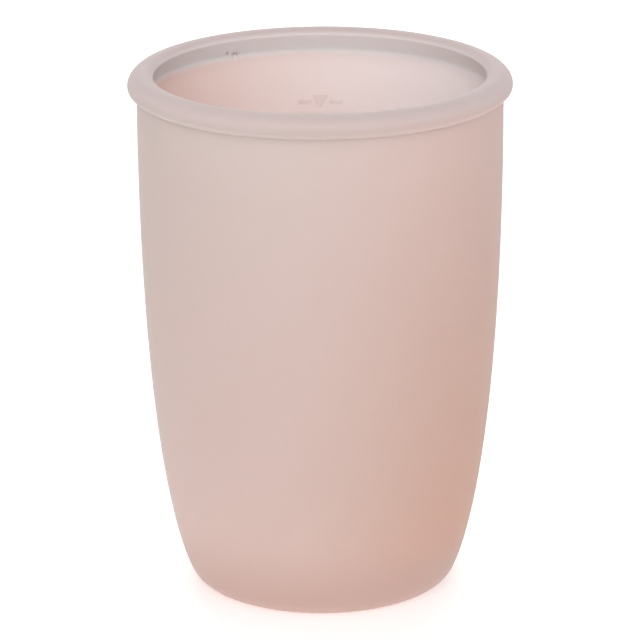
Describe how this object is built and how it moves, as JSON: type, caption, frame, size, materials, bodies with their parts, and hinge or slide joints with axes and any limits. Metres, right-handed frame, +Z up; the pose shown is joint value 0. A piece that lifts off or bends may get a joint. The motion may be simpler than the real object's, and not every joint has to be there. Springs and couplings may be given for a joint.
{
  "type": "silicone cup",
  "caption": "Soft tapered drinking cup with a rolled rim, a wire hoop moulded into the rim and a raised fill line inside.",
  "frame": {"origin": "centre of the foot ring, on the surface that the cup stands on", "axes": "+Z up along the cup's axis, towards the brim; +Y towards the side of the wall that carries the level mark"},
  "size_m": [0.073, 0.073, 0.1016],
  "materials": {
    "silicone": "matte, slightly translucent blush pink",
    "hoop_steel": "plain drawn wire"
  },
  "bodies": {
    "root": {"cup_body": "silicone", "rim_hoop": "hoop_steel"}
  },
  "joints": []
}
